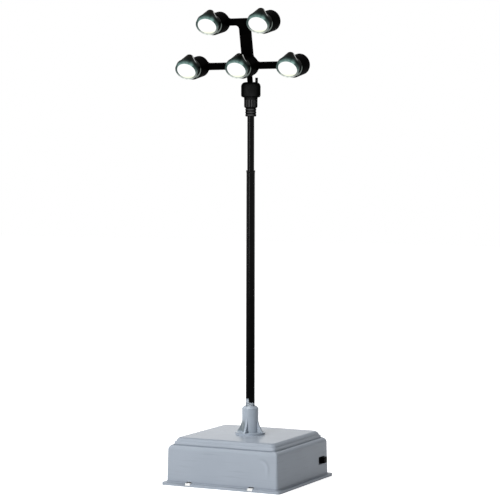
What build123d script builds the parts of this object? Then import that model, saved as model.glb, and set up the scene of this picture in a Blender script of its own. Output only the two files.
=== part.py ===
"""Battery-lit tabletop model of a stadium floodlight tower.

A grey moulded battery box with a slide switch carries a socket, a black mast in two diameters,
a collar, and a leaning black head frame with two lamps over three.
Millimetres, +Z up, origin at the middle of the box's underside, lamps facing -Y.
"""
import os
from math import cos, radians, sin, tan

from build123d import *

os.makedirs("parts", exist_ok=True)

# Battery box housing: a drafted shell with a foot flange and a raised lid
flange_width = 77.0
flange_overhang = 2.25
box_height = 23.8
box_draft = 1.5
box_corner_radius = 1.6
shoulder_radius = 3.0
wall = 1.8
flange_thickness = 1.6
flange_corner_radius = 2.0
cove_radius = 0.8
lid_inset = 3.0
lid_height = 4.1
lid_draft = 4.0
lid_corner_radius = 2.0
lid_edge_radius = 1.2
groove_width = 0.5
groove_depth = 0.5

# Base plate with snap tabs, and the battery door let into it
plate_thickness = 2.0
snap_tab_width = 3.5
snap_tab_height = 1.4
snap_tab_spread = 40.5
snap_tab_offset = -0.9
snap_tab_setback = 0.35
snap_gap = 0.7
door_end_margin = 7.0
door_side_margin = 12.0
door_thickness = 1.4
door_ledge = 2.0
thumb_recess_radius = 5.0
thumb_recess_depth = 0.7

# Slide switch in the right-hand wall
switch_window_length = 8.4
switch_window_height = 4.5
switch_back_inset = 9.45
switch_middle_z = 10.7
switch_body_length = 13.0
switch_body_height = 7.0
switch_body_depth = 5.5
knob_length = 3.8
knob_height = 3.6
knob_stand_out = 2.0
knob_foot_depth = 1.5
knob_grip_count = 3
knob_grip_width = 0.5
knob_grip_depth = 0.4
knob_edge_radius = 0.3

# Pole socket on the lid
mast_x = 1.15
socket_flange_radius = 8.9
socket_flange_thickness = 1.2
boss_radius = 4.92
boss_height = 15.6
boss_chamfer = 1.2
gusset_count = 4
gusset_height = 8.0
gusset_thickness = 1.2
gusset_waist_share = 0.41
gusset_toe_inset = 0.4

# Two-diameter mast
lower_pole_length = 156.2
lower_pole_foot_radius = 2.72
lower_pole_top_radius = 2.54
pole_bore_radius = 1.3
pole_lip_height = 0.9
pole_lip_radius = 2.68
upper_pole_length = 42.9
upper_pole_radius = 2.07
pole_spigot_length = 9.0

# Collar: ringed ferrule, fluted nut and cup
ferrule_length = 4.8
ferrule_radius = 3.3
ferrule_ring_count = 3
ferrule_groove_depth = 0.35
nut_length = 5.0
nut_radius = 4.0
nut_flute_count = 16
nut_flute_radius = 0.42
nut_end_radius = 1.4
cup_neck_height = 1.5
cup_neck_radius = 4.1
cup_height = 9.0
cup_radius = 5.8
cup_shoulder_radius = 2.6
cup_foot_rounding = 1.3
cup_recess_radius = 3.1
cup_recess_depth = 6.6
cup_floor_overlap = 1.2
prong_width = 1.2
prong_height = 2.6
prong_orbit = 3.75

# Leaning head frame: upright, two crossbars and five round lamp seats
head_lean = 11.8
head_pivot_height = 6.0
lower_row_height = 14.5
row_spacing = 26.1
lamp_pitch = 33.0
lower_row_shares = (-1, 0, 1)
upper_row_shares = (-1 / 2, 1 / 2)
frame_depth = 3.5
upright_width = 6.8
crossbar_height = 4.0
seat_radius = 6.3
frame_fillet = 2.2
frame_edge_chamfer = 0.8
seat_cap_inset = 0.1
seat_cap_height = 2.0
seat_cap_draft = 35.0
head_spigot_radius = 1.68
spigot_nub_radius = 0.6
spigot_nub_height = 9.0

# Lamps: barrel, elbow and cone of the shade, bezel and lens
lamp_tilt = 30.2
lamp_turn = 6.0
lens_reach = 17.1
barrel_mitre = 3.0
barrel_reach = 9.0
shade_radius = 6.45
elbow_radius = 6.1
shade_depth = 11.4
shade_tail_rise = 1.9
shade_tail_radius = 2.1
shade_tail_rounding = 1.4
bezel_radius = 6.8
bezel_length = 3.3
bezel_edge_chamfer = 0.45
lens_radius = 5.6
lens_thickness = 1.7
lens_crown = 0.5
lens_seat_width = 0.9

# Fits between pieces, and how far cutting shapes run past what they cut
fit = 0.1
slide_clearance = 0.3
overrun = 1.0

# Places worked out from the sizes above
box_width = flange_width - 2 * flange_overhang
lid_width = box_width - 2 * lid_inset
lid_top = box_height + lid_height
inner_width = box_width - 2 * wall
plate_width = inner_width - 2 * slide_clearance
door_length = plate_width - 2 * door_end_margin
door_width = plate_width - 2 * door_side_margin
switch_middle_y = box_width / 2 - switch_back_inset
pole_foot_z = lid_top + socket_flange_thickness
pole_step_z = pole_foot_z + lower_pole_length
collar_top_z = pole_step_z + upper_pole_length
cup_foot_z = collar_top_z - cup_floor_overlap
cup_body_z = cup_foot_z + cup_neck_height
cup_rim_z = cup_body_z + cup_height
nut_foot_z = cup_foot_z - nut_length
ferrule_foot_z = nut_foot_z - ferrule_length
mast = Plane(origin=(mast_x, 0, 0))
mast_axis = Axis((mast_x, 0, 0), (0, 0, 1))
mast_profile = Plane(origin=(mast_x, 0, 0), x_dir=(1, 0, 0), z_dir=(0, -1, 0))
head = Plane(
    origin=(mast_x, 0, cup_foot_z + head_pivot_height),
    x_dir=(1, 0, 0),
    z_dir=(0, -cos(radians(head_lean)), -sin(radians(head_lean))),
)
head_axis = Axis(head.origin, head.z_dir)
recess_floor_z = cup_rim_z - cup_recess_depth
spigot_corner_drop = head_spigot_radius * sin(radians(head_lean))
head_spigot_depth = (head.origin.Z - recess_floor_z - fit - spigot_corner_drop) / cos(radians(head_lean))
spigot_plane = Plane(head.from_local_coords((0, -head_spigot_depth, 0)), z_dir=head.y_dir)
upper_row_height = lower_row_height + row_spacing
lower_seats = [(place * lamp_pitch, lower_row_height) for place in lower_row_shares]
upper_seats = [(place * lamp_pitch, upper_row_height) for place in upper_row_shares]
lamp_seats = lower_seats + upper_seats


def save(builder, name):
    """Label one finished piece and write its file."""
    builder.part.label = name
    export_step(builder.part, f"parts/{name}.step")


def is_at_box_foot(edge):
    """True for the edges where the box's walls meet the flange, not for the flange's own rim."""
    middle = edge.center()
    return max(abs(middle.X), abs(middle.Y)) < (flange_width - flange_overhang) / 2


def gusset_plane(number):
    """Upright plane through the mast's axis, turned to one gusset, with its origin on the socket's flange."""
    turn = radians(number * 360 / gusset_count)
    return Plane((mast_x, 0, pole_foot_z), x_dir=(cos(turn), sin(turn), 0), z_dir=(sin(turn), -cos(turn), 0))


def lamp_plane(seat):
    """Plane of a lamp's front, on its seat's axis, tilted down and turned a little to the right."""
    tilt = radians(lamp_tilt)
    turn = radians(lamp_turn)
    aim = head.x_dir * sin(turn) * cos(tilt) - head.y_dir * sin(tilt) + head.z_dir * cos(turn) * cos(tilt)
    across = head.x_dir * cos(turn) - head.z_dir * sin(turn)
    return Plane(head.from_local_coords((*seat, lens_reach)), x_dir=across, z_dir=aim)


def mitre_plane(seat):
    """Plane of a barrel's slanted mouth, longer below than above."""
    mitre = radians(barrel_mitre)
    facing = head.y_dir * sin(mitre) + head.z_dir * cos(mitre)
    return Plane(head.from_local_coords((*seat, barrel_reach)), x_dir=head.x_dir, z_dir=facing)


def shade_mouth(lens_plane, growth):
    """Round mouth of a shade at the bezel's back, larger all round by growth."""
    with BuildSketch(lens_plane.offset(-bezel_length), mode=Mode.PRIVATE) as mouth:
        Circle(shade_radius + growth)
    return mouth.sketch.face()


def cone_sections(lens_plane, growth):
    """Ends of a shade's slanting cone, from the mouth to a small tail, larger all round by growth."""
    with BuildSketch(lens_plane.offset(-shade_depth - growth), mode=Mode.PRIVATE) as tail:
        with Locations((0, shade_tail_rise)):
            Circle(shade_tail_radius + growth)
    return [shade_mouth(lens_plane, growth), tail.sketch.face()]


# Drafted shell, open below, with the lid's step, the foot flange and the cut-outs
with BuildPart() as housing:
    with BuildSketch():
        RectangleRounded(box_width, box_width, box_corner_radius)
    extrude(amount=box_height, taper=box_draft)
    fillet(housing.faces().sort_by(Axis.Z)[-1].edges(), shoulder_radius)
    with BuildSketch(Plane.XY.offset(box_height)) as lid_outline:
        RectangleRounded(lid_width, lid_width, lid_corner_radius)
    extrude(amount=-groove_depth)
    extrude(lid_outline.sketch, amount=lid_height, taper=lid_draft)
    fillet(housing.faces().sort_by(Axis.Z)[-1].edges(), lid_edge_radius)
    with BuildSketch(Plane.XY.offset(box_height)):
        RectangleRounded(lid_width + 2 * groove_width, lid_width + 2 * groove_width, lid_corner_radius)
        RectangleRounded(lid_width, lid_width, lid_corner_radius, mode=Mode.SUBTRACT)
    extrude(amount=-groove_depth, mode=Mode.SUBTRACT)
    with BuildSketch():
        RectangleRounded(flange_width, flange_width, flange_corner_radius)
    extrude(amount=flange_thickness)
    flange_top_edges = housing.edges().filter_by_position(Axis.Z, flange_thickness, flange_thickness)
    fillet(flange_top_edges.filter_by(is_at_box_foot), cove_radius)
    with BuildSketch():
        RectangleRounded(inner_width, inner_width, box_corner_radius)
    extrude(amount=box_height - wall, taper=box_draft, mode=Mode.SUBTRACT)
    with BuildSketch():
        RectangleRounded(lid_width - 2 * wall, lid_width - 2 * wall, lid_corner_radius)
    extrude(amount=lid_top - wall, mode=Mode.SUBTRACT)
    snap_foot_z = plate_thickness - snap_tab_height
    with BuildSketch(Plane.XY.offset(snap_foot_z - fit)):
        with Locations((snap_tab_offset, 0)):
            with GridLocations(snap_tab_spread, flange_width, 2, 2):
                Rectangle(snap_tab_width, flange_width - inner_width + 2 * overrun)
    extrude(amount=snap_tab_height + snap_gap + fit, mode=Mode.SUBTRACT)
    with BuildSketch(Plane.YZ.offset(inner_width / 2 - overrun)):
        with Locations((switch_middle_y, switch_middle_z)):
            Rectangle(switch_window_length, switch_window_height)
    extrude(amount=wall + 2 * overrun, mode=Mode.SUBTRACT)
save(housing, "battery_box_housing")

# Flat plate that closes the box from below, with tabs through the snap windows
with BuildPart() as base_plate:
    with BuildSketch():
        RectangleRounded(plate_width, plate_width, box_corner_radius)
    extrude(amount=plate_thickness)
    tab_reach = (flange_width - plate_width) / 2 - snap_tab_setback
    tab_row = plate_width + tab_reach
    with BuildSketch(Plane.XY.offset(snap_foot_z)):
        with Locations((snap_tab_offset, 0)):
            with GridLocations(snap_tab_spread, tab_row, 2, 2):
                Rectangle(snap_tab_width - 2 * fit, tab_reach)
    extrude(amount=snap_tab_height)
    with BuildSketch():
        Rectangle(door_length + 2 * fit, door_width + 2 * fit)
    extrude(amount=door_thickness + fit, mode=Mode.SUBTRACT)
    with BuildSketch():
        Rectangle(door_length - 2 * door_ledge, door_width - 2 * door_ledge)
    extrude(amount=plate_thickness, mode=Mode.SUBTRACT)
save(base_plate, "base_plate")

# Battery door, flush in the plate's rebate, with a thumb recess at one end
with BuildPart() as battery_door:
    with BuildSketch():
        Rectangle(door_length, door_width)
    extrude(amount=door_thickness)
    with BuildSketch():
        with Locations((door_length / 2 - 2 * thumb_recess_radius, 0)):
            Circle(thumb_recess_radius)
    extrude(amount=thumb_recess_depth, mode=Mode.SUBTRACT)
save(battery_door, "battery_door")

# Switch body behind the window, with the slot that the knob's foot runs in
wall_lean = switch_middle_z * tan(radians(box_draft))
switch_face_x = inner_width / 2 - wall_lean - slide_clearance
switch_place = (switch_face_x, switch_middle_y, switch_middle_z)
switch_plane = Plane(origin=switch_place, x_dir=(0, 1, 0), z_dir=(1, 0, 0))
knob_travel = switch_window_length - knob_length - 2 * slide_clearance
knob_rest_y = knob_travel / 2
with BuildPart() as switch_body:
    with BuildSketch(switch_plane):
        Rectangle(switch_body_length, switch_body_height)
    extrude(amount=-switch_body_depth)
    with BuildSketch(switch_plane):
        Rectangle(switch_window_length, knob_height + 2 * slide_clearance)
    extrude(amount=-(knob_foot_depth + slide_clearance), mode=Mode.SUBTRACT)
save(switch_body, "switch_body")

# Ribbed knob at the rear, lit end of its travel
knob_length_out = wall + slide_clearance + knob_stand_out
with BuildPart() as switch_knob:
    with BuildSketch(switch_plane.offset(-knob_foot_depth)):
        with Locations((knob_rest_y, 0)):
            Rectangle(knob_length, knob_height)
    extrude(amount=knob_foot_depth + knob_length_out)
    fillet(switch_knob.faces().sort_by(Axis.X)[-1].edges(), knob_edge_radius)
    with BuildSketch(switch_plane.offset(knob_length_out)):
        with Locations((knob_rest_y, 0)):
            with GridLocations(2 * knob_grip_width, 0, knob_grip_count, 1):
                Rectangle(knob_grip_width, knob_height)
    extrude(amount=-knob_grip_depth, mode=Mode.SUBTRACT)
save(switch_knob, "switch_knob")

# Round flange, bored boss and hollow-sided gussets on the lid
gusset_run = socket_flange_radius - gusset_toe_inset - boss_radius
gusset_toe = (boss_radius + gusset_run, 0)
gusset_tip = (boss_radius, gusset_height)
gusset_waist = (boss_radius + gusset_run * gusset_waist_share, gusset_height * gusset_waist_share)
with BuildPart() as pole_socket:
    with BuildSketch(mast.offset(lid_top)):
        Circle(socket_flange_radius)
    extrude(amount=socket_flange_thickness)
    with BuildSketch(mast.offset(pole_foot_z)):
        Circle(boss_radius)
    extrude(amount=boss_height)
    chamfer(pole_socket.edges().sort_by(Axis.Z)[-1], boss_chamfer)
    for gusset_number in range(gusset_count):
        with BuildSketch(gusset_plane(gusset_number)):
            with BuildLine():
                ThreePointArc(gusset_toe, gusset_waist, gusset_tip)
                Polyline(gusset_tip, (0, gusset_height), (0, 0), gusset_toe)
            make_face()
        extrude(amount=gusset_thickness / 2, both=True)
    with BuildSketch(mast.offset(pole_foot_z)):
        Circle(lower_pole_foot_radius + fit)
    extrude(amount=boss_height, mode=Mode.SUBTRACT)
save(pole_socket, "pole_socket")

# Tapered lower pole: a black tube that ends in a small lip where the mast steps in
with BuildPart() as lower_pole:
    with BuildSketch(mast_profile):
        with BuildLine():
            Polyline(
                (pole_bore_radius, pole_foot_z),
                (lower_pole_foot_radius, pole_foot_z),
                (lower_pole_top_radius, pole_step_z - 2 * pole_lip_height),
                (pole_lip_radius, pole_step_z - pole_lip_height),
                (pole_lip_radius, pole_step_z),
                (pole_bore_radius, pole_step_z),
                close=True,
            )
        make_face()
    revolve(axis=mast_axis)
save(lower_pole, "lower_pole")

# Thin upper pole, with a spigot down the lower pole's bore
with BuildPart() as upper_pole:
    with BuildSketch(mast.offset(pole_step_z - pole_spigot_length)):
        Circle(pole_bore_radius - fit)
    extrude(amount=pole_spigot_length)
    with BuildSketch(mast.offset(pole_step_z)):
        Circle(upper_pole_radius)
    extrude(amount=upper_pole_length)
save(upper_pole, "upper_pole")

# Ferrule with rounded rings, slipped over the upper pole
ring_height = ferrule_length / ferrule_ring_count
ferrule_core_radius = ferrule_radius - ferrule_groove_depth
with BuildPart() as pole_ferrule:
    with BuildSketch(mast_profile):
        with BuildLine():
            for ring_number in range(ferrule_ring_count):
                ring_foot_z = ferrule_foot_z + ring_number * ring_height
                ThreePointArc(
                    (ferrule_core_radius, ring_foot_z),
                    (ferrule_radius, ring_foot_z + ring_height / 2),
                    (ferrule_core_radius, ring_foot_z + ring_height),
                )
            Polyline(
                (ferrule_core_radius, nut_foot_z),
                (upper_pole_radius + fit, nut_foot_z),
                (upper_pole_radius + fit, ferrule_foot_z),
                (ferrule_core_radius, ferrule_foot_z),
            )
        make_face()
    revolve(axis=mast_axis)
save(pole_ferrule, "pole_ferrule")

# Fluted nut with a rounded lower end
with BuildPart() as fluted_nut:
    with BuildSketch(mast.offset(nut_foot_z)):
        Circle(nut_radius)
    extrude(amount=nut_length)
    fillet(fluted_nut.edges().sort_by(Axis.Z)[0], nut_end_radius)
    with BuildSketch(mast.offset(nut_foot_z)):
        with PolarLocations(nut_radius, nut_flute_count):
            Circle(nut_flute_radius)
        Circle(upper_pole_radius + fit)
    extrude(amount=nut_length, mode=Mode.SUBTRACT)
save(fluted_nut, "fluted_nut")

# Round-shouldered cup with a recess for the head's spigot and one prong on its rim
with BuildPart() as collar_cup:
    with BuildSketch(mast_profile):
        with BuildLine():
            Polyline(
                (0, collar_top_z + fit),
                (upper_pole_radius + fit, collar_top_z + fit),
                (upper_pole_radius + fit, cup_foot_z),
                (nut_radius, cup_foot_z),
                (cup_neck_radius, cup_body_z),
                (cup_radius - cup_foot_rounding, cup_body_z),
            )
            RadiusArc(
                (cup_radius - cup_foot_rounding, cup_body_z),
                (cup_radius, cup_body_z + cup_foot_rounding),
                -cup_foot_rounding,
            )
            Line((cup_radius, cup_body_z + cup_foot_rounding), (cup_radius, cup_rim_z - cup_shoulder_radius))
            RadiusArc(
                (cup_radius, cup_rim_z - cup_shoulder_radius),
                (cup_radius - cup_shoulder_radius, cup_rim_z),
                -cup_shoulder_radius,
            )
            Polyline(
                (cup_radius - cup_shoulder_radius, cup_rim_z),
                (cup_recess_radius, cup_rim_z),
                (cup_recess_radius, cup_rim_z - cup_recess_depth),
                (0, cup_rim_z - cup_recess_depth),
                (0, collar_top_z + fit),
            )
        make_face()
    revolve(axis=mast_axis)
    with BuildSketch(mast.offset(cup_rim_z - cup_shoulder_radius)):
        with Locations((prong_orbit, 0)):
            Rectangle(prong_width, prong_width)
    extrude(amount=cup_shoulder_radius + prong_height)
save(collar_cup, "collar_cup")

# One black moulding: upright, crossbars, round lamp seats, and the spigot that plugs into the cup
upright_length = row_spacing + crossbar_height / 2
with BuildPart() as head_frame:
    with BuildSketch(head.offset(-frame_depth / 2)) as frame_outline:
        with Locations((0, lower_row_height + upright_length / 2)):
            Rectangle(upright_width, upright_length)
        with Locations((0, lower_row_height)):
            Rectangle(2 * lamp_pitch, crossbar_height)
        with Locations((0, upper_row_height)):
            Rectangle(lamp_pitch, crossbar_height)
        with Locations(*lamp_seats):
            Circle(seat_radius)
        fillet(frame_outline.vertices(), frame_fillet)
    extrude(amount=frame_depth)
    chamfer(head_frame.faces().sort_by(head_axis)[0].edges(), frame_edge_chamfer)
    with BuildSketch(head.offset(-frame_depth / 2)):
        with Locations(*lamp_seats):
            Circle(seat_radius - frame_edge_chamfer - seat_cap_inset)
    extrude(amount=-seat_cap_height, taper=seat_cap_draft)
    with BuildSketch(spigot_plane):
        Circle(head_spigot_radius)
    extrude(amount=head_spigot_depth + lower_row_height - seat_radius / 2)
    with BuildSketch(Plane(head.from_local_coords((0, spigot_nub_height, 0)), z_dir=head.x_dir)):
        Circle(spigot_nub_radius)
    extrude(amount=head_spigot_radius + spigot_nub_radius)
save(head_frame, "head_frame")

# Each lamp: a barrel on its seat, a shade whose elbow meets the barrel and whose cone is coped into it,
# a bezel and a crowned lens
for lamp_number, seat in enumerate(lamp_seats, start=1):
    lens_plane = lamp_plane(seat)
    with BuildPart() as barrel:
        with BuildSketch(head.offset(frame_depth / 2)):
            with Locations(seat):
                Circle(seat_radius)
        extrude(amount=lens_reach)
        split(bisect_by=mitre_plane(seat), keep=Keep.BOTTOM)
        loft(sections=cone_sections(lens_plane, fit), mode=Mode.SUBTRACT)
    save(barrel, f"lamp_barrel_{lamp_number}")

    with BuildPart() as shade:
        loft(sections=cone_sections(lens_plane, 0))
        tail_edge = shade.edges().sort_by(Axis(lens_plane.origin, lens_plane.z_dir))[0]
        fillet(tail_edge, shade_tail_rounding)
        with BuildSketch(mitre_plane(seat).offset(fit), mode=Mode.PRIVATE) as elbow_end:
            Circle(elbow_radius)
        loft(sections=[shade_mouth(lens_plane, 0), elbow_end.sketch.face()])
    save(shade, f"lamp_shade_{lamp_number}")

    with BuildPart() as bezel:
        with BuildSketch(lens_plane.offset(-bezel_length)):
            Circle(bezel_radius)
        extrude(amount=bezel_length)
        chamfer(bezel.edges(), bezel_edge_chamfer)
        with BuildSketch(lens_plane.offset(-bezel_length)):
            Circle(lens_radius - lens_seat_width)
        extrude(amount=bezel_length, mode=Mode.SUBTRACT)
        with BuildSketch(lens_plane.offset(-lens_thickness)):
            Circle(lens_radius + fit)
        extrude(amount=lens_thickness, mode=Mode.SUBTRACT)
    save(bezel, f"lamp_bezel_{lamp_number}")

    lens_profile = Plane(lens_plane.origin, x_dir=lens_plane.x_dir, z_dir=-lens_plane.y_dir)
    with BuildPart() as lens:
        with BuildSketch(lens_profile):
            with BuildLine():
                ThreePointArc((-lens_radius, -lens_crown), (0, 0), (lens_radius, -lens_crown))
                Polyline(
                    (lens_radius, -lens_crown),
                    (lens_radius, -lens_thickness),
                    (-lens_radius, -lens_thickness),
                    (-lens_radius, -lens_crown),
                )
            make_face()
            split(bisect_by=Plane.YZ)
        revolve(axis=Axis(lens_plane.origin, lens_plane.z_dir))
    save(lens, f"lamp_lens_{lamp_number}")
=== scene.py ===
from math import cos, pi, radians, sin

import bmesh
import bpy
from mathutils import Matrix, Vector


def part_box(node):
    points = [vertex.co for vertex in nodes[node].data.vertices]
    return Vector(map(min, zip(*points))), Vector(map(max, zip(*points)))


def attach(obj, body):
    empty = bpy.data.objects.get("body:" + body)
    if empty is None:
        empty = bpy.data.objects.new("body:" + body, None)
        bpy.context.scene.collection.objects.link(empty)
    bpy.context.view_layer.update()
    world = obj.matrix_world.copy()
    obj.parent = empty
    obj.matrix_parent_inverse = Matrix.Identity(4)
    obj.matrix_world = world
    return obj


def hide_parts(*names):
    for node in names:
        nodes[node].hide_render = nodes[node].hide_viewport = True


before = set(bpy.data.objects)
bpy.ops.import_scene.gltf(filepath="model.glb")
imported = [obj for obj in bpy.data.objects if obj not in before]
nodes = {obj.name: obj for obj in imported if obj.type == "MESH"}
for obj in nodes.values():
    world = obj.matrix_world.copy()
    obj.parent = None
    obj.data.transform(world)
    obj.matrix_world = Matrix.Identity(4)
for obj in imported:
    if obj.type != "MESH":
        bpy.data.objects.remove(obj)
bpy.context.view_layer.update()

# Battery box: a drafted shell moulded in pale blue-grey plastic with a satin skin, open below.
# Its raised lid carries the mast. The groove, the cove and the lid's edge are darker in colour, to match the
# shade in the photo. Faint streaks run along the walls, and a faint rounded line shows on the front one.
GREY_PALE = (0.362, 0.405, 0.464, 1)
GREY_DEEP = (0.346, 0.388, 0.446, 1)
GROOVE_SHADE = (0.285, 0.321, 0.373, 1)
FLOW_SHADE = (0.318, 0.357, 0.411, 1)
GHOST_SHINE = (0.388, 0.434, 0.496, 1)
BOX_ROUGHNESS = (0.25, 0.27)
WALL_SPECULAR = 0.08
LID_SPECULAR = 0.25
# Each band is a half width and a soft edge, and each range is where a change starts and ends.
GROOVE_Z = 0.0236
GROOVE_BAND = (0.0002, 0.0004)
# The painted shade in the groove fades to a smaller share on the right-hand wall.
GROOVE_SHADE_FADE_X_RANGE = (0.0315, 0.0323)
GROOVE_SHADE_RIGHT_SHARE = 0.2
COVE_Z = 0.0021
COVE_BAND = (0.0003, 0.0004)
LID_EDGE_Z = 0.02758
LID_EDGE_BAND = (0.0002, 0.0001)
LID_EDGE_SHARE = 0.95
LID_TOP_Z = 0.0279
POLISH_Z_RANGE = (LID_TOP_Z - 0.0001, LID_TOP_Z - 0.00003)
STREAK_STRETCH = (50, 50, 900)
STREAK_RANGE = (0.52, 0.84)
GHOST_HALF = 0.0305
GHOST_TOP_Z = 0.0193
GHOST_CORNER = 0.0056
GHOST_BAND = (0.0002, 0.0011)
GHOST_SHINE_INSET = 0.0016
GHOST_X_RANGE = (0.022, 0.0285)
GHOST_Y_RANGE = (-0.033, -0.034)
GHOST_Z_RANGE = (0.007, 0.014)


def add(tree, kind, settings=None, **inputs):
    """Add a node: settings are its properties, inputs are values or sockets, by name or s and a number."""
    made = tree.nodes.new(kind)
    for name, value in (settings or {}).items():
        setattr(made, name, value)
    for name, value in inputs.items():
        by_number = name[1:].isdigit()
        socket = made.inputs[int(name[1:]) if by_number else name.replace("_", " ")]
        if isinstance(value, bpy.types.NodeSocket):
            tree.links.new(value, socket)
        else:
            socket.default_value = value
    return made


def arith(tree, operation, first, second=0.0, third=0.0):
    """The result of one Math node."""
    settings = {"operation": operation}
    return add(tree, "ShaderNodeMath", settings, s0=first, s1=second, s2=third).outputs[0]


def product(tree, first, *others):
    """Values multiplied together."""
    for other in others:
        first = arith(tree, "MULTIPLY", first, other)
    return first


def vector(tree, operation, first, **inputs):
    """The outputs of one Vector Math node."""
    return add(tree, "ShaderNodeVectorMath", {"operation": operation}, s0=first, **inputs).outputs


def axes_of(tree, place):
    """The X, Y and Z outputs of a place."""
    return add(tree, "ShaderNodeSeparateXYZ", Vector=place).outputs


def noise(tree, place, scale, detail):
    """Noise at a place, from 0 to 1."""
    return add(tree, "ShaderNodeTexNoise", Vector=place, Scale=scale, Detail=detail).outputs["Fac"]


def ramp(tree, value, start, end, low=0.0, high=1.0):
    """A value carried smoothly from low at start to high at end, and level beyond them."""
    made = add(
        tree,
        "ShaderNodeMapRange",
        {"interpolation_type": "SMOOTHSTEP"},
        Value=value,
        From_Min=start,
        From_Max=end,
        To_Min=low,
        To_Max=high,
    )
    return made.outputs["Result"]


def band(tree, value, middle, half_width, edge):
    """A mask of 1 within half_width of the middle, falling to 0 over the edge."""
    distance = arith(tree, "ABSOLUTE", arith(tree, "SUBTRACT", value, middle))
    return ramp(tree, distance, half_width, half_width + edge, 1.0, 0.0)


def mix(tree, mask, first, second):
    """A colour that goes from first to second with the mask."""
    return add(tree, "ShaderNodeMix", {"data_type": "RGBA"}, s0=mask, s6=first, s7=second).outputs[2]


def new_group(name, inputs, outputs):
    """An empty shader group with named sockets, given as name and kind, and its input sockets."""
    group = bpy.data.node_groups.new(name, "ShaderNodeTree")
    for in_out, sockets in (("INPUT", inputs), ("OUTPUT", outputs)):
        for socket, kind in sockets.items():
            group.interface.new_socket(socket, in_out=in_out, socket_type="NodeSocket" + kind)
    return group, group.nodes.new("NodeGroupInput").outputs


def use_group(tree, group, **inputs):
    """The outputs of a shader group placed in a material."""
    return add(tree, "ShaderNodeGroup", {"node_tree": group}, **inputs).outputs


def new_material(name):
    """A new material, its node tree, its Principled shader and the object's own place."""
    material = bpy.data.materials.new(name)
    material.use_nodes = True
    tree = material.node_tree
    place = tree.nodes.new("ShaderNodeTexCoord").outputs["Object"]
    return material, tree, tree.nodes["Principled BSDF"], place


def moulded_skin_group():
    """Slow cloudiness and fine texture of a moulded surface, both from 0 to 1."""
    inputs = {"Vector": "Vector", "Cloud Scale": "Float", "Texture Scale": "Float"}
    group, entry = new_group("moulded_skin", inputs, {"Cloud": "Float", "Texture": "Float"})
    cloud = noise(group, entry["Vector"], entry["Cloud Scale"], 2)
    fine = noise(group, entry["Vector"], entry["Texture Scale"], 2)
    add(group, "NodeGroupOutput", Cloud=ramp(group, cloud, 0.32, 0.68), Texture=fine)
    return group


moulded_skin = moulded_skin_group()


def moulded(name, deep, pale, rough, cloud_scale, texture_scale, bump, specular):
    """A moulded plastic drifting between two shades and two roughnesses; its tree and inputs come too."""
    material, tree, shader, place = new_material(name)
    skin = use_group(tree, moulded_skin, Vector=place, Cloud_Scale=cloud_scale, Texture_Scale=texture_scale)
    shade = mix(tree, skin["Cloud"], deep, pale)
    gloss = ramp(tree, skin["Cloud"], 0.0, 1.0, *rough)
    relief = add(tree, "ShaderNodeBump", Height=skin["Texture"], Strength=0.35, Distance=bump)
    tree.links.new(shade, shader.inputs["Base Color"])
    tree.links.new(gloss, shader.inputs["Roughness"])
    tree.links.new(relief.outputs["Normal"], shader.inputs["Normal"])
    shader.inputs["Specular IOR Level"].default_value = specular
    return material, tree, shader, place, shade


def finish_node(node, material):
    """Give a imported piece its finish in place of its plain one."""
    mesh = nodes[node].data
    mesh.materials.clear()
    mesh.materials.append(material)


box_plastic, tree, shader, place, shade = moulded(
    "grey_box_plastic",
    GREY_DEEP,
    GREY_PALE,
    rough=BOX_ROUGHNESS,
    cloud_scale=45,
    texture_scale=1900,
    bump=0.000006,
    specular=WALL_SPECULAR,
)
axes = axes_of(tree, place)
# Painted shade in the groove, weaker on the right-hand wall.
groove_shade_share = ramp(tree, axes["X"], *GROOVE_SHADE_FADE_X_RANGE, 1.0, GROOVE_SHADE_RIGHT_SHARE)
groove = product(tree, band(tree, axes["Z"], GROOVE_Z, *GROOVE_BAND), groove_shade_share)
cove = band(tree, axes["Z"], COVE_Z, *COVE_BAND)
lid_edge = product(tree, band(tree, axes["Z"], LID_EDGE_Z, *LID_EDGE_BAND), LID_EDGE_SHARE)
hollows = arith(tree, "MAXIMUM", arith(tree, "MAXIMUM", groove, cove), lid_edge)
flow = noise(tree, vector(tree, "MULTIPLY", place, s1=STREAK_STRETCH)["Vector"], 1, 2)
streaked = mix(tree, ramp(tree, flow, *STREAK_RANGE), shade, FLOW_SHADE)
past_x = arith(tree, "MAXIMUM", arith(tree, "SUBTRACT", axes["X"], GHOST_HALF - GHOST_CORNER), 0.0)
past_z = arith(tree, "MAXIMUM", arith(tree, "SUBTRACT", axes["Z"], GHOST_TOP_Z - GHOST_CORNER), 0.0)
past = add(tree, "ShaderNodeCombineXYZ", X=past_x, Y=past_z).outputs["Vector"]
past_both = vector(tree, "LENGTH", past)["Value"]
near_corner = product(
    tree,
    ramp(tree, axes["X"], *GHOST_X_RANGE),
    ramp(tree, axes["Y"], *GHOST_Y_RANGE),
    ramp(tree, axes["Z"], *GHOST_Z_RANGE),
)
ghost = product(tree, band(tree, past_both, GHOST_CORNER, *GHOST_BAND), near_corner)
shine = product(tree, band(tree, past_both, GHOST_CORNER - GHOST_SHINE_INSET, *GHOST_BAND), near_corner)
ghosted = mix(tree, shine, mix(tree, ghost, streaked, FLOW_SHADE), GHOST_SHINE)
tree.links.new(mix(tree, hollows, ghosted, GROOVE_SHADE), shader.inputs["Base Color"])
polish = ramp(tree, axes["Z"], *POLISH_Z_RANGE, WALL_SPECULAR, LID_SPECULAR)
tree.links.new(polish, shader.inputs["Specular IOR Level"])

# Lid edges: the moulding is well rounded along the top of the lid, more than the solid that it stands for.
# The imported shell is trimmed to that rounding, and keeps its walls, windows and hollow inside.
LID_HALF = 0.03265
LID_CORNER = 0.003
LID_ROUNDING = 0.0026
ROUNDING_STEPS = 8
CORNER_STEPS = 6
OUTSIDE_HALF = 0.060
ENVELOPE_FOOT_Z = -0.002
ENVELOPE_STEP_Z = GROOVE_Z + 0.0006
ENVELOPE_TOP_Z = LID_TOP_Z + 0.00002
WELD_DISTANCE = 1e-7
SHARP_ANGLE = radians(28)


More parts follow.
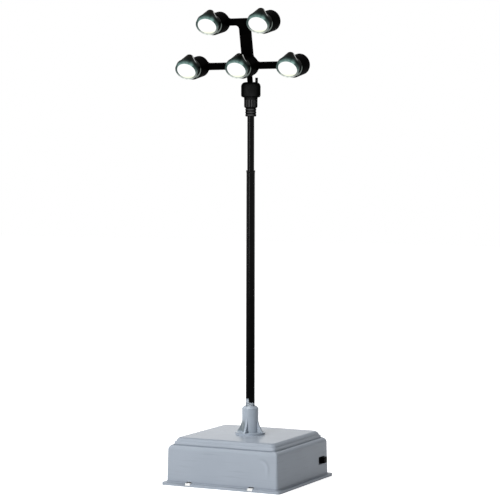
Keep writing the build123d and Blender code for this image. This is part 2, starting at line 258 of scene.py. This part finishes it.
def rounded_square(half, height):
    """Points of a square with the lid's rounded corners, anticlockwise from above."""
    points = []
    straight = half - LID_CORNER
    for quarter in range(4):
        turn = quarter * pi / 2
        for step in range(CORNER_STEPS + 1):
            angle = turn + step * pi / 2 / CORNER_STEPS
            x = straight * (cos(turn) - sin(turn)) + LID_CORNER * cos(angle)
            y = straight * (sin(turn) + cos(turn)) + LID_CORNER * sin(angle)
            points.append((x, y, height))
    return points


def stacked(name, rings):
    """A closed mesh through rings of as many points each, from the lowest up."""
    count = len(rings[0])
    faces = [tuple(reversed(range(count)))]
    for level in range(len(rings) - 1):
        low = level * count
        for i in range(count):
            j = (i + 1) % count
            faces.append((low + i, low + j, low + count + j, low + count + i))
    faces.append(tuple(range(len(rings) * count - count, len(rings) * count)))
    mesh = bpy.data.meshes.new(name)
    mesh.from_pydata([point for ring in rings for point in ring], [], faces)
    return mesh


def new_object(name, data):
    """An object at the origin, in the scene."""
    made = bpy.data.objects.new(name, data)
    bpy.context.scene.collection.objects.link(made)
    return made


def settle(piece):
    """Turn a piece's modifiers into its own mesh, which is returned."""
    bpy.context.view_layer.update()
    mesh = bpy.data.meshes.new_from_object(piece.evaluated_get(bpy.context.evaluated_depsgraph_get()))
    piece.modifiers.clear()
    piece.data = mesh
    return mesh


rings = [rounded_square(OUTSIDE_HALF, ENVELOPE_FOOT_Z), rounded_square(OUTSIDE_HALF, ENVELOPE_STEP_Z)]
for step in range(ROUNDING_STEPS + 1):
    angle = step * pi / 2 / ROUNDING_STEPS
    inward = LID_ROUNDING * (1 - cos(angle))
    downward = LID_ROUNDING * (1 - sin(angle))
    rings.append(rounded_square(LID_HALF - inward, ENVELOPE_TOP_Z - downward))
envelope = new_object("lid_envelope", stacked("lid_envelope", rings))
shell_mesh = nodes["battery_box_housing"].data.copy()
shell_edit = bmesh.new()
shell_edit.from_mesh(shell_mesh)
bmesh.ops.remove_doubles(shell_edit, verts=shell_edit.verts, dist=WELD_DISTANCE)
shell_edit.to_mesh(shell_mesh)
shell_edit.free()
shell = new_object("rounded_housing", shell_mesh)
trim = shell.modifiers.new("trim", "BOOLEAN")
trim.operation = "INTERSECT"
trim.solver = "EXACT"
trim.object = envelope
trimmed = settle(shell)
bpy.data.objects.remove(envelope)
trimmed.materials.clear()
trimmed.materials.append(box_plastic)
trimmed.shade_smooth()
trimmed.set_sharp_from_angle(angle=SHARP_ANGLE)
finish_node("battery_box_housing", box_plastic)
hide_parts("battery_box_housing")
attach(shell, "tower")

# Base plate and battery door: flat white mouldings that snap into the box from below.
# Four white tabs of the plate show in the windows of the foot flange.
white_plastic = moulded(
    "white_plate_plastic",
    deep=(0.86, 0.86, 0.85, 1),
    pale=(0.92, 0.92, 0.91, 1),
    rough=(0.38, 0.5),
    cloud_scale=60,
    texture_scale=1500,
    bump=0.00005,
    specular=0.5,
)[0]
finish_node("base_plate", white_plastic)
finish_node("battery_door", white_plastic)

# Grip ribs: fine white bars across the thumb recess that slides the door open.
# They are moulded with the door and stand up from the floor of its recess, on the underside.
RIB_COUNT = 5
RIB_PITCH = 0.0014
RIB_SIZE = (0.0006, 0.0064, 0.0005)
RIB_MIDDLE = (0.01715, 0, 0.00043)


def rib_row_tree():
    """Bars of one size repeated along X, with their middle at the origin."""
    tree = bpy.data.node_groups.new("rib_row", "GeometryNodeTree")
    tree.is_modifier = True
    for name, kind in (("Count", "Int"), ("Pitch", "Float"), ("Size", "Vector"), ("Material", "Material")):
        tree.interface.new_socket(name, in_out="INPUT", socket_type="NodeSocket" + kind)
    tree.interface.new_socket("Geometry", in_out="OUTPUT", socket_type="NodeSocketGeometry")
    entry = tree.nodes.new("NodeGroupInput").outputs
    gaps = arith(tree, "SUBTRACT", entry["Count"], 1.0)
    start = product(tree, gaps, entry["Pitch"], -0.5)
    first = add(tree, "ShaderNodeCombineXYZ", X=start).outputs["Vector"]
    gap = add(tree, "ShaderNodeCombineXYZ", X=entry["Pitch"]).outputs["Vector"]
    line = add(tree, "GeometryNodeMeshLine", Count=entry["Count"], Start_Location=first, Offset=gap)
    bar = add(tree, "GeometryNodeMeshCube", Size=entry["Size"])
    bars = add(
        tree, "GeometryNodeInstanceOnPoints", Points=line.outputs["Mesh"], Instance=bar.outputs["Mesh"]
    )
    solid = add(tree, "GeometryNodeRealizeInstances", Geometry=bars.outputs["Instances"])
    coated = add(
        tree, "GeometryNodeSetMaterial", Geometry=solid.outputs["Geometry"], Material=entry["Material"]
    )
    add(tree, "NodeGroupOutput", Geometry=coated.outputs["Geometry"])
    return tree


ribs = new_object("door_grip_ribs", bpy.data.meshes.new("door_grip_ribs"))
rib_row = ribs.modifiers.new("rib_row", "NODES")
rib_row.node_group = rib_row_tree()
rib_inputs = {"Count": RIB_COUNT, "Pitch": RIB_PITCH, "Size": RIB_SIZE, "Material": white_plastic}
for item in rib_row.node_group.interface.items_tree:
    if item.in_out == "INPUT":
        rib_row[item.identifier] = rib_inputs[item.name]
settle(ribs).transform(Matrix.Translation(RIB_MIDDLE))
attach(ribs, "tower")

# Slide switch: a bought-in switch of dull black plastic, held behind its window in the right-hand wall.
# Its ribbed knob is a moulding of its own that slides along the window.
black_switch = moulded(
    "switch_black_plastic",
    deep=(0.002, 0.002, 0.002, 1),
    pale=(0.004, 0.004, 0.004, 1),
    rough=(0.4, 0.55),
    cloud_scale=300,
    texture_scale=3000,
    bump=0.00004,
    specular=0.03,
)[0]
finish_node("switch_body", black_switch)
finish_node("switch_knob", black_switch)

# Pole socket: a bored boss with gussets on a round flange, moulded in the box's grey and glued to the lid.
# The pocket between its front and left gussets is darker in colour, to match the shade in the photo.
SOCKET_DEEP = (0.372, 0.424, 0.486, 1)
SOCKET_PALE = (0.392, 0.446, 0.510, 1)
POCKET_SHADE = (0.205, 0.240, 0.262, 1)
MAST_X = 0.00115
POCKET_X_RANGE = (MAST_X - 0.0007, MAST_X - 0.0015)
POCKET_Y_RANGE = (0.0, -0.0005)
POCKET_FOOT_Z_RANGE = (0.0292, 0.0297)
POCKET_TOP_Z_RANGE = (0.0374, 0.0344)
socket_plastic, tree, shader, place, shade = moulded(
    "grey_socket_plastic",
    SOCKET_DEEP,
    SOCKET_PALE,
    rough=(0.30, 0.36),
    cloud_scale=160,
    texture_scale=2200,
    bump=0.00004,
    specular=0.3,
)
axes = axes_of(tree, place)
pocket = product(
    tree,
    ramp(tree, axes["X"], *POCKET_X_RANGE),
    ramp(tree, axes["Y"], *POCKET_Y_RANGE),
    ramp(tree, axes["Z"], *POCKET_FOOT_Z_RANGE),
    ramp(tree, axes["Z"], *POCKET_TOP_Z_RANGE),
)
tree.links.new(mix(tree, pocket, shade, POCKET_SHADE), shader.inputs["Base Color"])
finish_node("pole_socket", socket_plastic)

# Mast: two black painted tubes, the thin one plugged into the lower one.
# The paint is dull toward its foot. It stops in a ragged line just above the socket, with a step in it,
# and flecked grey shows below.
PAINT_DEEP = (0.0008, 0.0008, 0.0009, 1)
PAINT_PALE = (0.0016, 0.0016, 0.0016, 1)
FLECK_DARK = (0.16, 0.19, 0.22, 1)
FLECK_LIGHT = (0.52, 0.57, 0.62, 1)
FLECK_SCALE = 1500
FLECK_RANGE = (0.42, 0.58)
PAINT_EDGE_Z = 0.0467
PAINT_EDGE_RANGE = (-0.00015, 0.00015)
PAINT_STEP = 0.0022
PAINT_STEP_RANGE = (-0.0001, 0.0005)
PAINT_SLANT = (0.9, 0.44, 0)
RAG_SCALE = 900
RAG_DEPTH = 0.0024
PAINT_SPECULAR = 0.08
DULL_SPECULAR = 0.018
DULL_Z_RANGE = (0.07, 0.17)


def mast_paint(name):
    """The mast's black paint, with its tree and inputs."""
    return moulded(
        name,
        PAINT_DEEP,
        PAINT_PALE,
        rough=(0.13, 0.17),
        cloud_scale=180,
        texture_scale=2600,
        bump=0.00001,
        specular=PAINT_SPECULAR,
    )


finish_node("upper_pole", mast_paint("mast_black_paint")[0])
worn_paint, tree, shader, place, shade = mast_paint("mast_black_paint_worn")
axes = axes_of(tree, place)
slant = vector(tree, "DOT_PRODUCT", place, s1=PAINT_SLANT)["Value"]
step = ramp(tree, slant, *PAINT_STEP_RANGE, PAINT_STEP, 0.0)
rag = product(tree, arith(tree, "SUBTRACT", noise(tree, place, RAG_SCALE, 3), 0.5), RAG_DEPTH)
edge_z = arith(tree, "ADD", arith(tree, "ADD", step, rag), PAINT_EDGE_Z)
bare = ramp(tree, arith(tree, "SUBTRACT", axes["Z"], edge_z), *PAINT_EDGE_RANGE, 1.0, 0.0)
flecks = ramp(tree, noise(tree, place, FLECK_SCALE, 2), *FLECK_RANGE)
flecked = mix(tree, flecks, FLECK_DARK, FLECK_LIGHT)
tree.links.new(mix(tree, bare, shade, flecked), shader.inputs["Base Color"])
dulling = ramp(tree, axes["Z"], *DULL_Z_RANGE, DULL_SPECULAR, PAINT_SPECULAR)
tree.links.new(dulling, shader.inputs["Specular IOR Level"])
finish_node("lower_pole", worn_paint)

# Collar: a ringed ferrule, a fluted nut and a round-shouldered cup, moulded in satin black and pressed on.
# The crests of rings and flutes are paler in colour, and sides that turn away from the eye are darker, to
# match the highlights in the photo.
COLLAR_DEEP = (0.013, 0.013, 0.013, 1)
COLLAR_PALE = (0.018, 0.018, 0.0185, 1)
COLLAR_TURNED = (0.0012, 0.0012, 0.0012, 1)
COLLAR_CREST = (0.075, 0.075, 0.076, 1)
CREST_FROM = {"pole_ferrule": 0.00312, "fluted_nut": 0.00376}
CREST_OVER = 0.00016
TURNED_RANGE = (0.0, 0.45)


def collar_crests_group():
    """A mask of what stands out from the mast's axis, from one radius to another."""
    inputs = {"Vector": "Vector", "From": "Float", "To": "Float"}
    group, entry = new_group("collar_crests", inputs, {"Mask": "Float"})
    beside = vector(group, "SUBTRACT", entry["Vector"], s1=(MAST_X, 0, 0))["Vector"]
    level = vector(group, "MULTIPLY", beside, s1=(1, 1, 0))["Vector"]
    radius = vector(group, "LENGTH", level)["Value"]
    add(group, "NodeGroupOutput", Mask=ramp(group, radius, entry["From"], entry["To"]))
    return group


collar_crests = collar_crests_group()
for node in ("collar_cup", "pole_ferrule", "fluted_nut"):
    collar_plastic, tree, shader, place, shade = moulded(
        f"{node}_black_plastic",
        COLLAR_DEEP,
        COLLAR_PALE,
        rough=(0.40, 0.48),
        cloud_scale=200,
        texture_scale=2800,
        bump=0.00003,
        specular=0.004,
    )
    if node in CREST_FROM:
        crest = CREST_FROM[node]
        crests = use_group(tree, collar_crests, Vector=place, From=crest, To=crest + CREST_OVER)
        shade = mix(tree, crests["Mask"], shade, COLLAR_CREST)
    facing = add(tree, "ShaderNodeLayerWeight", Blend=0.5).outputs["Facing"]
    turned = ramp(tree, facing, *TURNED_RANGE)
    tree.links.new(mix(tree, turned, shade, COLLAR_TURNED), shader.inputs["Base Color"])
    finish_node(node, collar_plastic)

# Head frame: upright, two crossbars and five round lamp seats in one moulding of dull black plastic.
# It leans forward, and its spigot is plugged into the collar's cup.
black_frame = moulded(
    "frame_black_plastic",
    deep=(0.0006, 0.0006, 0.0006, 1),
    pale=(0.0014, 0.0013, 0.0012, 1),
    rough=(0.42, 0.50),
    cloud_scale=150,
    texture_scale=2400,
    bump=0.00005,
    specular=0.002,
)[0]
finish_node("head_frame", black_frame)

# Lamp barrels: short black tubes of the same plastic as the frame, glued on its seats.
# Each is cut out at its mouth for the shade that beds in it.
LAMPS = range(1, 6)
for number in LAMPS:
    finish_node(f"lamp_barrel_{number}", black_frame)

# Lamp shades and bezels: glossy dark green translucent mouldings, with a painted glow near the lens, drawn
# as emission that dies away within a few millimetres of the lens. Two pale lines on the right are painted
# highlights, also drawn as emission. Places on a lamp are in millimetres: X across, Y up, Z forward from its
# lens's middle.
HEAD_LEAN = radians(11.8)
LAMP_TILT = radians(30.2)
LAMP_TURN = radians(6.0)
BEZEL_LENGTH = 0.0033
MOUTH_TO_LENS = 0.0081
TO_MILLIMETRES = 1000
SKIN_DARK = (0.0014, 0.0032, 0.0024, 1)
SKIN_TAIL = (0.0050, 0.0046, 0.0034, 1)
SKIN_TAIL_RANGE = (-8.0, -4.0)
SHADE_ROUGHNESS = 0.22
SHADE_SPECULAR = 0.006
GLOW_TINT = (0.62, 1.0, 0.92)
GLOW_PALE = (0.93, 1.0, 0.93)
GLOW_PALE_RANGE = (2.0, -5.0)
GLOW_REACH = 0.88
PATCH_SCALE = 0.5
PATCH_RANGE = (0.35, 0.65)
PATCH_LIGHT = (0.75, 1.15)
# Light around the rim, by degrees clockwise from the top, as seen from the front.
RING_LIGHT = (
    (-180, 0.95),
    (-145, 0.80),
    (-120, 0.42),
    (-98, 0.16),
    (-55, 0.07),
    (-30, 0.26),
    (18, 0.34),
    (30, 0.22),
    (42, 0.60),
    (58, 0.14),
    (75, 0.10),
    (95, 0.17),
    (150, 0.32),
    (180, 0.95),
)
# The first pale line climbs the shade's right side, and the second lies along the barrel's mouth.
EDGE_LIGHT = (0.40, 0.41, 0.40, 1)
EDGE_COURSE_RANGE = (-10.0, -5.0)
EDGE_COURSE = (radians(42), radians(70))
EDGE_OFFSET = -0.15
EDGE_BAND = (0.4, 0.35)
EDGE_FADE_RANGE = (-4.6, -7.0)
MOUTH_LIGHT = (0.155, 0.18, 0.165, 1)
MOUTH_OFFSET = 1.0
MOUTH_BAND = (0.25, 0.3)
MOUTH_ANGLE = radians(120)
MOUTH_ARC = (radians(26), radians(16))
across = Vector((1, 0, 0))
head_up = Vector((0, -sin(HEAD_LEAN), cos(HEAD_LEAN)))
head_front = Vector((0, -cos(HEAD_LEAN), -sin(HEAD_LEAN)))
lamp_aim = (
    across * (sin(LAMP_TURN) * cos(LAMP_TILT))
    - head_up * sin(LAMP_TILT)
    + head_front * (cos(LAMP_TURN) * cos(LAMP_TILT))
)
lamp_across = across * cos(LAMP_TURN) - head_front * sin(LAMP_TURN)
lamp_up = lamp_aim.cross(lamp_across)


def lens_middle(number):
    """Middle of a lamp's front, found from its bezel."""
    low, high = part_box(f"lamp_bezel_{number}")
    return (low + high) / 2 + lamp_aim * (BEZEL_LENGTH / 2)


def measured(tree, place, origin, right, up, front):
    """A place measured from an origin along three directions, in millimetres."""
    turn = Matrix((right, up, front)).transposed().to_euler()
    settings = {"vector_type": "TEXTURE"}
    mapping = add(tree, "ShaderNodeMapping", settings, Vector=place, Location=origin, Rotation=turn)
    return vector(tree, "SCALE", mapping.outputs["Vector"], Scale=TO_MILLIMETRES)["Vector"]


def lamp_glow_group():
    """Colours of a lamp body and its painted glow and highlights, from places measured before its lens and
    before its barrel's mouth.
    """
    inputs = {"Lens Place": "Vector", "Mouth Place": "Vector"}
    group, entry = new_group("lamp_glow", inputs, {"Skin": "Color", "Glow": "Color"})
    axes = axes_of(group, entry["Lens Place"])
    around = arith(group, "ARCTAN2", axes["X"], axes["Y"])
    ring = add(group, "ShaderNodeValToRGB", Fac=arith(group, "MULTIPLY_ADD", around, 0.5 / pi, 0.5))
    stops = ring.color_ramp.elements
    while len(stops) < len(RING_LIGHT):
        stops.new(1.0)
    for stop, (angle, light) in zip(stops, RING_LIGHT):
        stop.position = angle / 360 + 0.5
        stop.color = (light, light, light, 1)
    patchy = ramp(group, noise(group, entry["Lens Place"], PATCH_SCALE, 3), *PATCH_RANGE, *PATCH_LIGHT)
    fading = arith(group, "EXPONENT", arith(group, "DIVIDE", axes["Z"], GLOW_REACH))
    light = product(group, ring.outputs["Color"], patchy, fading)
    paler = ramp(group, axes["Y"], *GLOW_PALE_RANGE)
    tint = add(group, "ShaderNodeMix", {"data_type": "VECTOR"}, s0=paler, s4=GLOW_TINT, s5=GLOW_PALE)
    glow = vector(group, "SCALE", tint.outputs[1], Scale=light)["Vector"]
    flat = vector(group, "MULTIPLY", entry["Lens Place"], s1=(1, 1, 0))["Vector"]
    radius = vector(group, "LENGTH", flat)["Value"]
    course = ramp(group, axes["Z"], *EDGE_COURSE_RANGE, *EDGE_COURSE)
    beside = product(group, arith(group, "SUBTRACT", around, course), radius)
    edge_fade = ramp(group, axes["Z"], *EDGE_FADE_RANGE)
    edge = product(group, band(group, beside, EDGE_OFFSET, *EDGE_BAND), edge_fade)
    mouth = axes_of(group, entry["Mouth Place"])
    mouth_around = arith(group, "ARCTAN2", mouth["X"], mouth["Y"])
    mouth_arc = band(group, mouth_around, MOUTH_ANGLE, *MOUTH_ARC)
    line = product(group, band(group, mouth["Z"], MOUTH_OFFSET, *MOUTH_BAND), mouth_arc)
    glow = mix(group, line, mix(group, edge, glow, EDGE_LIGHT), MOUTH_LIGHT)
    skin = mix(group, ramp(group, axes["Z"], *SKIN_TAIL_RANGE), SKIN_TAIL, SKIN_DARK)
    add(group, "NodeGroupOutput", Skin=skin, Glow=glow)
    return group


lamp_glow = lamp_glow_group()
for number in LAMPS:
    body, tree, shader, place = new_material(f"shade_green_gloss_{number}")
    middle = lens_middle(number)
    mouth = middle - head_front * MOUTH_TO_LENS
    colours = use_group(
        tree,
        lamp_glow,
        Lens_Place=measured(tree, place, middle, lamp_across, lamp_up, lamp_aim),
        Mouth_Place=measured(tree, place, mouth, across, head_up, head_front),
    )
    tree.links.new(colours["Skin"], shader.inputs["Base Color"])
    tree.links.new(colours["Glow"], shader.inputs["Emission Color"])
    shader.inputs["Emission Strength"].default_value = 1.0
    shader.inputs["Roughness"].default_value = SHADE_ROUGHNESS
    shader.inputs["Specular IOR Level"].default_value = SHADE_SPECULAR
    finish_node(f"lamp_shade_{number}", body)
    finish_node(f"lamp_bezel_{number}", body)

# Lenses: crowned discs of clear plastic, pressed into their bezels and lit from behind.
# They are so bright that only the lower edge shows a warm tint.
LENS_BASE = (0.02, 0.02, 0.02, 1)
LENS_WHITE = (1.0, 1.0, 1.0, 1)
LENS_LOW = (0.94, 1.0, 0.76, 1)
LENS_LOW_RANGE = (-2.5, -5.6)
LENS_EDGE = (0.24, 0.36, 0.33, 1)
LENS_EDGE_RANGE = (5.5, 6.1)
LENS_RAISE = (0, 0.5, 0)


def lens_light_group():
    """The light of a lens, from a place measured before it."""
    group, entry = new_group("lens_light", {"Lens Place": "Vector"}, {"Light": "Color"})
    low = ramp(group, axes_of(group, entry["Lens Place"])["Y"], *LENS_LOW_RANGE)
    raised = vector(group, "ADD", entry["Lens Place"], s1=LENS_RAISE)["Vector"]
    flat = vector(group, "MULTIPLY", raised, s1=(1, 1, 0))["Vector"]
    edge = ramp(group, vector(group, "LENGTH", flat)["Value"], *LENS_EDGE_RANGE)
    add(group, "NodeGroupOutput", Light=mix(group, edge, mix(group, low, LENS_WHITE, LENS_LOW), LENS_EDGE))
    return group


lens_light = lens_light_group()
for number in LAMPS:
    lens, tree, shader, place = new_material(f"lit_lens_{number}")
    lens_place = measured(tree, place, lens_middle(number), lamp_across, lamp_up, lamp_aim)
    light = use_group(tree, lens_light, Lens_Place=lens_place)
    tree.links.new(light["Light"], shader.inputs["Emission Color"])
    shader.inputs["Emission Strength"].default_value = 1.0
    shader.inputs["Base Color"].default_value = LENS_BASE
    finish_node(f"lamp_lens_{number}", lens)

# Studio: a plain white floor, open where the box hides it so that the underside can be seen from below,
# a tall soft lamp in front on the left, one overhead, and a white surround.
SURROUND_LIGHT = 0.24
FLOOR_HALF = 3.0
FLOOR_OPENING_HALF = 0.0378
FLOOR_COLOUR = (0.8, 0.8, 0.8, 1)
FLOOR_ROUGHNESS = 0.9
FLOOR_LIFT = 0.82
WHITE = (1, 1, 1, 1)
scene = bpy.context.scene
scene.view_settings.view_transform = "Standard"


def seen_directly(tree):
    """A value of 1 for rays from the camera, mirrors and glass, which see the plain white surround."""
    path = tree.nodes.new("ShaderNodeLightPath").outputs
    either = arith(tree, "MAXIMUM", path["Is Camera Ray"], path["Is Glossy Ray"])
    return arith(tree, "MAXIMUM", either, path["Is Transmission Ray"])


world = bpy.data.worlds.new("white_surround")
world.use_nodes = True
scene.world = world
tree = world.node_tree
level = add(tree, "ShaderNodeMapRange", Value=seen_directly(tree), To_Min=SURROUND_LIGHT, To_Max=1.0)
surround = tree.nodes["Background"]
surround.inputs["Color"].default_value = WHITE
tree.links.new(level.outputs["Result"], surround.inputs["Strength"])

corners = ((-1, -1), (1, -1), (1, 1), (-1, 1))
floor_points = [(x * half, y * half, 0) for half in (FLOOR_HALF, FLOOR_OPENING_HALF) for x, y in corners]
floor_mesh = bpy.data.meshes.new("floor")
floor_mesh.from_pydata(floor_points, [], [(i, (i + 1) % 4, (i + 1) % 4 + 4, i + 4) for i in range(4)])
floor = new_object("floor", floor_mesh)
floor_white, tree, shader = new_material("floor_white")[:3]
shader.inputs["Base Color"].default_value = FLOOR_COLOUR
shader.inputs["Roughness"].default_value = FLOOR_ROUGHNESS
shader.inputs["Specular IOR Level"].default_value = 0
shader.inputs["Emission Color"].default_value = WHITE
tree.links.new(product(tree, seen_directly(tree), FLOOR_LIFT), shader.inputs["Emission Strength"])
floor_mesh.materials.append(floor_white)


def soft_lamp(name, place, aim, width, height, power):
    """A rectangular soft lamp at a place, turned to a point."""
    data = bpy.data.lights.new(name, "AREA")
    data.shape = "RECTANGLE"
    data.size = width
    data.size_y = height
    data.energy = power
    lamp = new_object(name, data)
    lamp.location = place
    lamp.rotation_euler = (Vector(aim) - Vector(place)).to_track_quat("-Z", "Y").to_euler()


soft_lamp("key_lamp", place=(-0.28, -1.27, 0.60), aim=(0, 0, 0.20), width=0.20, height=1.2, power=12.6)
soft_lamp("overhead_lamp", place=(-0.35, -0.1, 1.35), aim=(0, 0, 0.2), width=0.6, height=0.6, power=9)

# Camera: about a metre in front, a little to the right, and below the height of the lamps.
# Its place, aim and lens were fitted to the corners of the box and to the mast in the photo.
CAMERA_AZIMUTH = radians(26.08)
CAMERA_DISTANCE = 1.150
CAMERA_HEIGHT = 0.1921
CAMERA_AIM = (0.00085, -0.00015, 0.1379)
CAMERA_ROLL = radians(0.1)
CAMERA_LENS = 139.2
camera_data = bpy.data.cameras.new("camera")
camera_data.sensor_width = 36
camera_data.lens = CAMERA_LENS
camera_data.clip_start = 0.01
camera = new_object("camera", camera_data)
camera_x = sin(CAMERA_AZIMUTH) * CAMERA_DISTANCE
camera_y = -cos(CAMERA_AZIMUTH) * CAMERA_DISTANCE
camera.location = (camera_x, camera_y, CAMERA_HEIGHT)
gaze = (Vector(CAMERA_AIM) - camera.location).to_track_quat("-Z", "Y").to_matrix().to_4x4()
camera.rotation_euler = (gaze @ Matrix.Rotation(CAMERA_ROLL, 4, "Z")).to_euler()
scene.camera = camera
